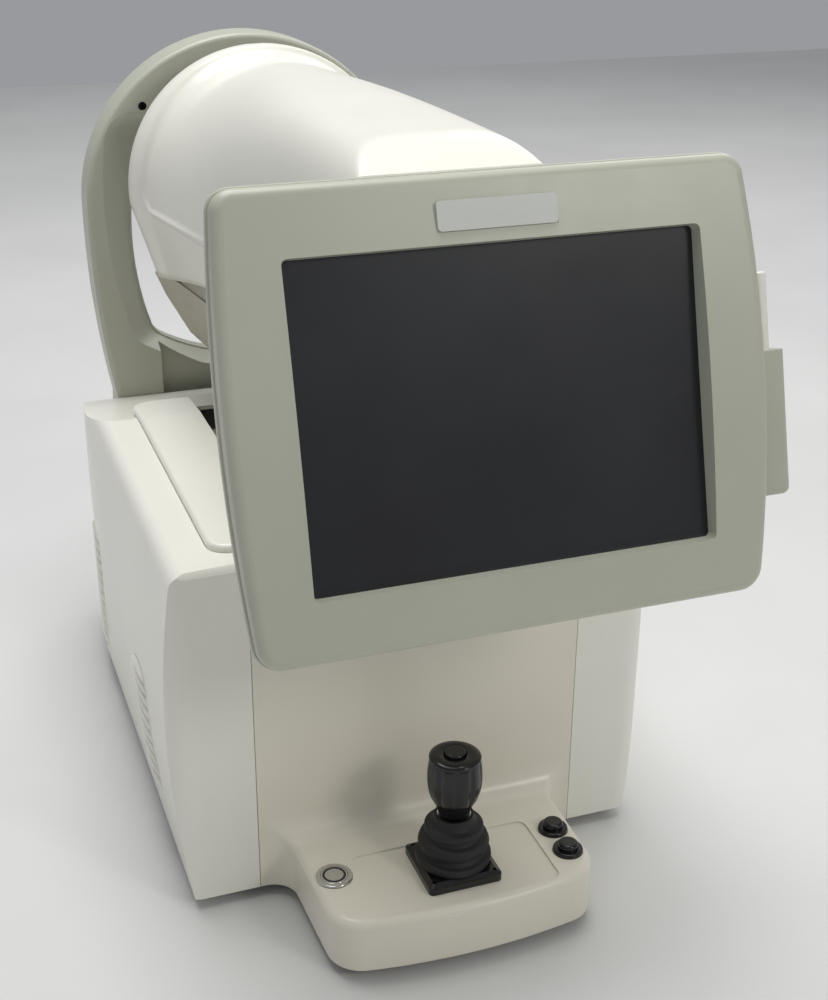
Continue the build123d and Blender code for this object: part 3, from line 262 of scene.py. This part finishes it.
def finish_mesh(bm, name, material):
    """Turn the bmesh into a smooth-shaded object with that material and slot."""
    bmesh.ops.remove_doubles(bm, verts=bm.verts, dist=1e-6)
    bmesh.ops.recalc_face_normals(bm, faces=bm.faces)
    mesh = bpy.data.meshes.new(name)
    bm.to_mesh(mesh)
    bm.free()
    for face in mesh.polygons:
        face.use_smooth = True
    mesh.materials.append(MATERIALS[material])
    obj = bpy.data.objects.new(name, mesh)
    bpy.context.scene.collection.objects.link(obj)
    return obj


def skin(bm, rows, closed=True, cap_first=False, cap_last=False):
    """Faces between rows of points that all have the same length."""
    grid = [[bm.verts.new(p) for p in row] for row in rows]
    count = len(rows[0])
    steps = count if closed else count - 1
    for low, high in zip(grid, grid[1:]):
        for i in range(steps):
            j = (i + 1) % count
            bm.faces.new((low[i], low[j], high[j], high[i]))
    for wanted, row in ((cap_first, grid[0]), (cap_last, grid[-1])):
        if wanted:
            middle = bm.verts.new(sum((v.co for v in row), Vector()) / count)
            for i in range(steps):
                bm.faces.new((row[i], row[(i + 1) % count], middle))


def lathe_rows(profile, x, y, segments=96, wobble=None):
    """Rows of points of a turned shape about a vertical axis; profile is (radius, z) in mm."""
    rows = []
    for radius, z in profile:
        row = []
        for i in range(segments):
            angle = 2 * math.pi * i / segments
            r = radius * (wobble(angle, z) if wobble else 1.0)
            row.append(place(x + r * math.cos(angle), y + r * math.sin(angle), z))
        rows.append(row)
    return rows


def curve_through(points, at):
    """Smooth value at a station, through (station, value) points in rising order."""
    stations = [p[0] for p in points]
    at = min(max(at, stations[0]), stations[-1])
    i = max(k for k in range(len(points) - 1) if stations[k] <= at)
    (x0, y0), (x1, y1) = points[i], points[i + 1]
    before = points[i - 1] if i > 0 else points[i]
    after = points[i + 2] if i + 2 < len(points) else points[i + 1]
    m0 = (y1 - before[1]) / (x1 - before[0])
    m1 = (after[1] - y0) / (after[0] - x0)
    t = (at - x0) / (x1 - x0)
    span = x1 - x0
    return ((2 * t**3 - 3 * t**2 + 1) * y0 + (t**3 - 2 * t**2 + t) * span * m0
            + (3 * t**2 - 2 * t**3) * y1 + (t**3 - t**2) * span * m1)


def smooth_step(a, b, v):
    """0 at a, 1 at b and an S-curve between; a may be above b."""
    t = min(max((v - a) / (b - a), 0.0), 1.0)
    return t * t * (3 - 2 * t)


# ---------------------------------------------------------------- measuring head cover
CREASE = 360.0
HEAD_AXIS = 368.0
HEAD_END = -248.0
RIDGE_Y = 115.0
RIDGE_CROWN_Y = 124.0
RIDGE_RISE = 2.6
RIDGE_SPREAD = 2.0
RIDGE_TURN = 15.0       # radius where the ridge turns from the rim on to the crease
COVER_THICKNESS = 0.0024
FACET_BLEND = 0.5
# (station, value) along the head, in mm
HALF_WIDTH = [(-248, 58.0), (-160, 59.5), (-80, 64.5), (0, 73.0), (60, 82.0), (110, 91.6), (119, 95.8),
              (127, 98.8), (133.5, 100.0), (140, 99.7), (145, 98.2), (148.4, 95.6), (150, 92.5)]
CROWN = [(-248, 468.0), (-80, 468.0), (0, 467.0), (60, 465.0), (110, 460.5)]
SKIRT_HALF = [(-248, 49.0), (-160, 51.0), (-80, 57.0), (0, 65.5), (60, 73.0), (110, 79.0), (128, 84.0),
              (150, 80.0)]
SKIRT_LOW = [(-248, 336.0), (-160, 336.0), (-80, 333.0), (0, 327.0), (60, 318.0), (110, 308.0), (130, 306.0),
             (150, 306.5)]
FACET = [(-254, 453.0), (-234, 461.5), (-207, 470.0)]


def ridge_height(above, y):
    """Height of the raised ridge: round the rim, then forward along the crease."""
    line = RIDGE_Y + (RIDGE_CROWN_Y - RIDGE_Y) * smooth_step(15, 130, above)
    u, v = y - (line - RIDGE_TURN), RIDGE_TURN - above
    if u > 0 and v > 0:
        away = abs(math.hypot(u, v) - RIDGE_TURN)
    elif u > 0:
        away = abs(y - line)
    else:
        away = abs(above)
    return RIDGE_RISE * math.exp(-(away / RIDGE_SPREAD) ** 2)


def head_section(y):
    """Points of the head's skin at one station, from one skirt edge over the crown to the other."""
    half = curve_through(HALF_WIDTH, y)
    crown = curve_through(CROWN, y)
    low_half = curve_through(SKIRT_HALF, y)
    low_z = curve_through(SKIRT_LOW, y)
    rim = smooth_step(80, 112, y)
    square = 2.0 / (2.0 + 3.0 * smooth_step(80, -235, y))
    side = []
    for part in (0.0, 0.12, 0.25, 0.4, 0.55, 0.7, 0.8, 0.88, 0.92, 0.95, 0.975):
        side.append((low_half + (half - low_half) * part, low_z + (CREASE - low_z) * part))
    start = math.asin((HEAD_AXIS - CREASE) / half)
    angles = [0, 0.7, 1.4, 2.2, 3.2, 4.5, 6, 8, 10.5, 13] + list(range(16, 91, 3))
    for angle in angles:
        a = math.radians(angle)
        rise = (crown - CREASE) * math.sin(a) ** square
        oval = (half * abs(math.cos(a)) ** square, CREASE + rise)
        b = -start + (math.pi / 2 + start) * angle / 90
        ring = (half * math.cos(b), HEAD_AXIS + half * math.sin(b))
        side.append(tuple(p * (1 - rim) + q * rim for p, q in zip(oval, ring)))
    points = []
    for x, z in side:
        reach = math.hypot(x, z - HEAD_AXIS)
        above = z - CREASE if z < CREASE + 20 else reach * math.atan2(z - CREASE, x)
        lift = ridge_height(above, y) if above > -8 else 0.0
        points.append((x + lift * x / reach, z + lift * (z - HEAD_AXIS) / reach))
    if y < FACET[-1][0]:
        roof = curve_through(FACET, y)
        points = [(x, z - FACET_BLEND * math.log1p(math.exp((z - roof) / FACET_BLEND))) for x, z in points]
    whole = points + [(-x, z) for x, z in reversed(points[:-1])]
    return [place(x, y, z) for x, z in whole]


def make_head_skin():
    """One cover from the operator's end to the rim, rolled in to the measuring ring."""
    stations = [HEAD_END, -247.2, -245, -241, -236, -230, -226, -223, -220, -216, -212, -208, -204]
    stations += [-198, -185] + list(range(-170, 91, 13)) + [92, 95, 98, 100] + list(range(102, 131))
    stations += [132, 134, 136.5, 139, 142, 144.5, 146.5, 148, 149.2, 150]
    rows = [head_section(y) for y in stations]
    centre = place(0, 150, HEAD_AXIS)
    for reach, y in ((88.0, 150.6), (85.4, 150.2), (84.4, 148.6), (84.2, 141.0)):
        row = []
        for p in head_section(150):
            out = Vector((p.x - centre.x, 0, p.z - centre.z))
            out.normalize()
            out *= reach * MM
            row.append(Vector((centre.x + out.x, place(0, y, 0).y, centre.z + out.z)))
        rows.append(row)
    end = rows[0]
    middle = place(0, HEAD_END, 392)
    closing = [[middle + (p - middle) * part for p in end] for part in (0.3, 0.9, 0.985)]
    bm = bmesh.new()
    skin(bm, closing + rows, closed=False, cap_first=True)
    head = finish_mesh(bm, "head_cover_skin", "cream_cover")
    shell = head.modifiers.new("thickness", "SOLIDIFY")
    shell.thickness = COVER_THICKNESS
    shell.offset = -1.0
    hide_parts("upper_shell", "lower_shell")
    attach(head, "head")


# ---------------------------------------------------------------- louvre hoods on the side walls
# rows, then y and z of the highest and lowest slot of each stack
LOUVRE_STACKS = ((10, -104, -129, 116, 53), (11, 120, 92, 112, 38))
HOOD_HALF_LENGTH = 19.5
# (rise above the slot, distance out of the wall) round a hood, in mm
HOOD_PROFILE = ((4.4, -0.4), (4.1, 0.6), (3.2, 2.1), (2.1, 3.0), (1.0, 3.2), (0.2, 2.8), (0.1, 1.6),
                (0.4, -0.4))
WALL_FROM_AXIS = 0.13   # a ray that stops nearer the axis than this has gone through a slot


def wall_beside(wall, start, side, previous):
    """x of the side wall beside the point, or the previous x where the ray goes through a slot."""
    hit = wall.ray_cast(start, Vector((-side, 0, 0)))[0]
    if hit is None or abs(hit.x - AXIS_X) <= WALL_FROM_AXIS:
        return previous
    return hit.x


def make_louvre_hoods():
    """Eyelid-shaped hoods over the slots, laid on the bowed side walls."""
    x = 0.0
    for node, side in (("left_cover", -1), ("right_cover", 1)):
        mesh = NODES[node].data
        wall = BVHTree.FromPolygons([v.co for v in mesh.vertices], [p.vertices for p in mesh.polygons])
        bm = bmesh.new()
        for rows, y_top, y_low, z_top, z_low in LOUVRE_STACKS:
            for row in range(rows):
                part = row / (rows - 1)
                y0, z0 = y_top + (y_low - y_top) * part, z_top + (z_low - z_top) * part
                rings = []
                for k in range(21):
                    s = -1 + 2 * k / 20
                    arch = z0 + 2.0 - 3.4 * s * s + 0.3
                    full = max(0.0, 1 - s * s) ** 0.6
                    ring = []
                    for rise, out in HOOD_PROFILE:
                        start = place(side * 200, y0 + HOOD_HALF_LENGTH * s, arch + rise * full)
                        x = wall_beside(wall, start, side, x)
                        ring.append(Vector((x + side * out * max(full, 0.1) * MM, start.y, start.z)))
                    rings.append(ring)
                skin(bm, rings, closed=True, cap_first=True, cap_last=True)
        hoods = finish_mesh(bm, "louvre_hoods_" + node.split("_")[0], "cream_cover")
        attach(hoods, "base")


# ---------------------------------------------------------------- joystick boot and grip
STICK_Y = -268.0
BOOT_WALL = 1.2
FLUTES = 10
FLUTE_DEPTH = 0.07      # of the grip's radius


def pleated(points, steps=5):
    """Round the corners of a (radius, z) profile."""
    out = []
    for (r0, z0), (r1, z1) in zip(points, points[1:]):
        for k in range(steps):
            t = k / steps
            out.append((r0 + (r1 - r0) * smooth_step(0, 1, t), z0 + (z1 - z0) * t))
    return out + [points[-1]]


def make_boot():
    """Pleated rubber boot in two halves."""
    lower = pleated([(17.5, 46.6), (21.4, 47.2), (22.8, 49.6), (22.6, 52.4), (19.4, 54.4), (18.2, 56.2),
                     (20.6, 58.6), (21.4, 60.8)])
    upper = pleated([(21.4, 60.8), (20.4, 64.0), (16.6, 65.8), (15.8, 67.6), (17.8, 69.6), (17.6, 72.0),
                     (13.4, 74.2), (12.2, 76.6), (11.6, 79.6)])
    for name, profile, node, bodies, start, end in (
            ("boot_lower_pleats", lower, "boot_lower", ("base", "joystick_gimbal"), 48.0, 60.5),
            ("boot_upper_pleats", upper, "boot_upper", ("joystick_gimbal", "joystick_lever"), 61.5, 75.0)):
        bm = bmesh.new()
        inner = [(r - BOOT_WALL, z) for r, z in reversed(profile)]
        rows = lathe_rows(profile + inner, 0, STICK_Y)
        skin(bm, rows + [rows[0]])
        boot = finish_mesh(bm, name, "rubber")
        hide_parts(node)
        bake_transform(boot)


def make_grip():
    """Fluted grip of the joystick, waisted below and domed above, with the well of its button."""
    low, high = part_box("stick_handle")
    foot, top = low.z / MM, high.z / MM
    widest = (high.x - low.x) / 2 / MM
    bore_low, bore_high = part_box("stick_button")
    bore = (bore_high.x - bore_low.x) / 2 / MM + 0.3
    tall = top - foot
    shape = [(0.0, 0.50), (0.03, 0.58), (0.10, 0.64), (0.18, 0.72), (0.28, 0.86), (0.40, 0.95), (0.55, 1.0),
             (0.70, 1.0), (0.82, 0.97), (0.90, 0.93), (0.93, 0.90), (0.945, 0.95), (0.965, 0.94),
             (0.99, 0.84), (1.0, 0.76)]

    def flutes(angle, z):
        level = (z - foot) / tall
        depth = FLUTE_DEPTH * smooth_step(0.12, 0.30, level) * (1 - smooth_step(0.86, 0.93, level))
        return 1.0 - depth * max(0.0, math.cos(FLUTES * angle)) ** 2

    profile = []
    for k in range(61):
        level = k / 60
        profile.append((widest * curve_through(shape, level), foot + tall * level))
    profile += [(bore + 0.6, top), (bore, top - 0.5), (bore, top - 6.0)]
    bm = bmesh.new()
    skin(bm, lathe_rows(profile, 0, STICK_Y, 120, flutes), cap_first=True, cap_last=True)
    grip = finish_mesh(bm, "fluted_grip", "black_plastic")
    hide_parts("stick_handle")
    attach(grip, "joystick_grip")


# ---------------------------------------------------------------- forehead pad
def make_forehead_pad():
    """Soft crowned band across the brow."""
    low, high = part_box("forehead_pad")
    half, back, deep = 58.0, low.y, high.y - low.y
    rows = []
    for inset, part in ((3.5, 0.0), (1.2, 0.03), (0.3, 0.12), (0.0, 0.3), (0.0, 0.55), (0.7, 0.72),
                        (2.0, 0.85), (4.0, 0.94), (6.5, 0.985), (9.0, 1.0)):
        row = []
        for k in range(128):
            a = 2 * math.pi * k / 128
            u = math.copysign(abs(math.cos(a)) ** 0.32, math.cos(a))
            v = math.copysign(abs(math.sin(a)) ** 0.45, math.sin(a))
            x = (half - inset) * u
            bow = 1 - (x / half) ** 2
            bottom, top = 424 - 12 * bow, 446 - 4 * bow
            z = (bottom + top) / 2 + ((top - bottom) / 2 - inset) * v
            dip = 0.6 * math.exp(-(x / 26.0) ** 2) if part > 0.8 else 0.0
            point = place(x, 0, z)
            row.append(Vector((point.x, back + deep * part - dip * MM, point.z)))
        rows.append(row)
    bm = bmesh.new()
    skin(bm, rows, cap_first=True, cap_last=True)
    pad = finish_mesh(bm, "brow_pad", "pad")
    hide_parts("forehead_pad")
    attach(pad, "base")


# ---------------------------------------------------------------- flange round the display
TILT = math.radians(15.9)
DISPLAY_Y, DISPLAY_Z = -330.0, 358.0
BEZEL_TOP, BEZEL_LOW = 112.9, -110.5
TOP_CORNER, LOW_CORNER = 11.0, 13.0


def on_display(x, depth, up):
    """A point of the tilted display: across, back into it, and up its face."""
    return place(x, DISPLAY_Y + up * math.sin(TILT) + depth * math.cos(TILT),
                 DISPLAY_Z + up * math.cos(TILT) - depth * math.sin(TILT))


def bezel_half(up):
    """Half width of the bezel, whose sides bow outwards."""
    return 140.5 - 6.2 * ((up - 3.0) / 112.0) ** 2


def bezel_corner(centre_up, radius, first):
    """A quarter circle of (x, up, outward x, outward up), starting at that angle in degrees."""
    centre_x = bezel_half(centre_up) - radius
    turns = [math.radians(first + 9 * k) for k in range(11)]
    return [(centre_x + radius * math.cos(a), centre_up + radius * math.sin(a), math.cos(a), math.sin(a))
            for a in turns]


def display_edge():
    """Outline of the bezel as (x, up, outward x, outward up)."""
    low, top = BEZEL_LOW + LOW_CORNER, BEZEL_TOP - TOP_CORNER
    flank = [low + (top - low) * k / 24 for k in range(1, 24)]
    right = bezel_corner(low, LOW_CORNER, -90) + [(bezel_half(up), up, 1.0, 0.0) for up in flank]
    right += bezel_corner(top, TOP_CORNER, 0)
    return right + [(-x, up, -nx, nu) for x, up, nx, nu in reversed(right)]


def make_display_flange():
    """Raised band round the flank of the bezel, between its rolled edge and the back shell."""
    rows = []
    for x, up, nx, nu in display_edge():
        rows.append([on_display(x + nx * out, depth, up + nu * out) for out, depth in (
            (-0.6, 8.6), (0.55, 8.8), (0.95, 9.4), (0.95, 12.0), (0.55, 12.6), (-0.6, 12.8))])
    bm = bmesh.new()
    skin(bm, rows + [rows[0]])
    flange = finish_mesh(bm, "display_flange", "grey_green")
    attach(flange, "display")


# ---------------------------------------------------------------- softened edges of the moulded parts
SOFT_EDGES = {
    "left_cover": 0.5, "right_cover": 0.5, "top_panel": 1.0, "front_panel": 1.0, "rear_panel": 0.8,
    "arch_frame": 1.2, "arch_face": 1.2, "lower_housing": 1.5, "bezel": 1.0, "display_back": 1.5,
    "name_plate": 0.3, "chin_column": 1.0, "chin_rest": 1.2, "stick_plate": 0.4, "stylus_holder": 0.8,
    "measuring_face": 0.6, "power_button_ring": 0.3, "chin_button_rings": 0.3, "neck": 1.0,
    "stick_button": 0.4, "power_button": 0.3, "chin_up_button": 0.4, "chin_down_button": 0.4,
    "mains_inlet": 0.4,
}


def soften_edges():
    """Round the sharp edges of the CAD nodes that show, by the width in mm."""
    for node, width in SOFT_EDGES.items():
        bevel = NODES[node].modifiers.new("soft_edges", "BEVEL")
        bevel.width = width * MM
        bevel.segments = 3
        bevel.limit_method = "ANGLE"
        bevel.angle_limit = math.radians(28)
        bevel.use_clamp_overlap = True


def make_lamp_ring():
    """Dark lamp ring let into the face of the power button."""
    low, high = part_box("power_button")
    x, y = (low.x + high.x) / 2, (low.y + high.y) / 2
    radius = (high.x - low.x) / 2 / MM
    top = high.z / MM
    origin = place(0, 0, 0)
    profile = [(radius - 2.6, top - 0.3), (radius - 2.6, top + 0.12), (radius - 2.4, top + 0.18),
               (radius - 1.4, top + 0.18), (radius - 1.2, top + 0.12), (radius - 1.2, top - 0.3)]
    bm = bmesh.new()
    rows = lathe_rows(profile, (x - origin.x) / MM, (y - origin.y) / MM)
    skin(bm, rows + [rows[0]])
    ring = finish_mesh(bm, "power_lamp_ring", "dark_plastic")
    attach(ring, "power_button")


make_head_skin()
make_louvre_hoods()
make_display_flange()
make_lamp_ring()
make_boot()
make_grip()
make_forehead_pad()
soften_edges()


# ---------------------------------------------------------------- stage, camera and light
FLOOR_HALF = 3.0
EYE = (-0.27996, -0.89739, 0.61694)
EYE_PITCH_YAW_ROLL = (24.27, -20.08, 0.44)     # degrees
FOCAL_LENGTH = 1.503                            # in sensor widths


def add_stage():
    """Plain pale floor."""
    mesh = bpy.data.meshes.new("floor_sheet")
    bm = bmesh.new()
    bmesh.ops.create_grid(bm, x_segments=8, y_segments=8, size=FLOOR_HALF)
    bm.to_mesh(mesh)
    bm.free()
    floor = bpy.data.objects.new("floor_sheet", mesh)
    bpy.context.scene.collection.objects.link(floor)
    m = Nodes("pale_floor")
    tone = m.ramp(m.noise(3.0), [(0.3, srgb(214, 214, 212)), (0.7, srgb(222, 222, 220))])
    m.link(tone, m.bsdf.inputs["Base Color"])
    m.link(m.spread(m.noise(50.0), 0.55, 0.70), m.bsdf.inputs["Roughness"])
    mesh.materials.append(m.mat)


def add_camera():
    """The photograph's viewing angle: place, direction and focal length."""
    pitch, yaw, roll = (math.radians(v) for v in EYE_PITCH_YAW_ROLL)
    level = math.cos(pitch)
    forward = Vector((-math.sin(yaw) * level, math.cos(yaw) * level, -math.sin(pitch)))
    right = Vector((math.cos(yaw), math.sin(yaw), 0.0))
    up = right.cross(forward)
    x_axis = right * math.cos(roll) + up * math.sin(roll)
    y_axis = up * math.cos(roll) - right * math.sin(roll)
    data = bpy.data.cameras.new("view_camera")
    data.sensor_width = 36.0
    data.lens = FOCAL_LENGTH * data.sensor_width
    data.shift_y = -0.006
    data.clip_end = 50.0
    camera = bpy.data.objects.new("view_camera", data)
    turn = Matrix((x_axis, y_axis, -forward)).transposed().to_4x4()
    camera.matrix_world = Matrix.Translation(EYE) @ turn
    bpy.context.scene.collection.objects.link(camera)
    bpy.context.scene.camera = camera


def area_light(name, spot, target, size, power, colour=(1.0, 1.0, 1.0)):
    """Rectangular light at the spot, turned to the target."""
    data = bpy.data.lights.new(name, "AREA")
    data.shape = "RECTANGLE"
    data.size, data.size_y = size
    data.energy = power
    data.color = colour
    light = bpy.data.objects.new(name, data)
    light.location = spot
    light.rotation_mode = "QUATERNION"
    light.rotation_quaternion = (Vector(target) - Vector(spot)).to_track_quat("-Z", "Y")
    bpy.context.scene.collection.objects.link(light)


def add_light():
    """Soft room: pale world, ceiling panel, window behind and key from the front right."""
    world = bpy.data.worlds.new("soft_room")
    bpy.context.scene.world = world
    world.use_nodes = True
    background = world.node_tree.nodes["Background"]
    background.inputs["Color"].default_value = (0.93, 0.95, 1.0, 1.0)
    background.inputs["Strength"].default_value = 0.34
    area_light("ceiling_panel", (-0.1, 0.3, 2.3), (0, 0, 0.2), (1.3, 1.9), 40.0)
    area_light("back_window", (1.6, 1.7, 1.7), (0, 0, 0.3), (1.2, 1.2), 9.0, (1.0, 0.99, 0.97))
    area_light("front_key", (1.1, -2.0, 1.5), (0, -0.1, 0.2), (0.5, 0.5), 10.0, (1.0, 0.97, 0.91))
    bpy.context.scene.view_settings.view_transform = "Standard"


add_camera()
add_stage()
add_light()
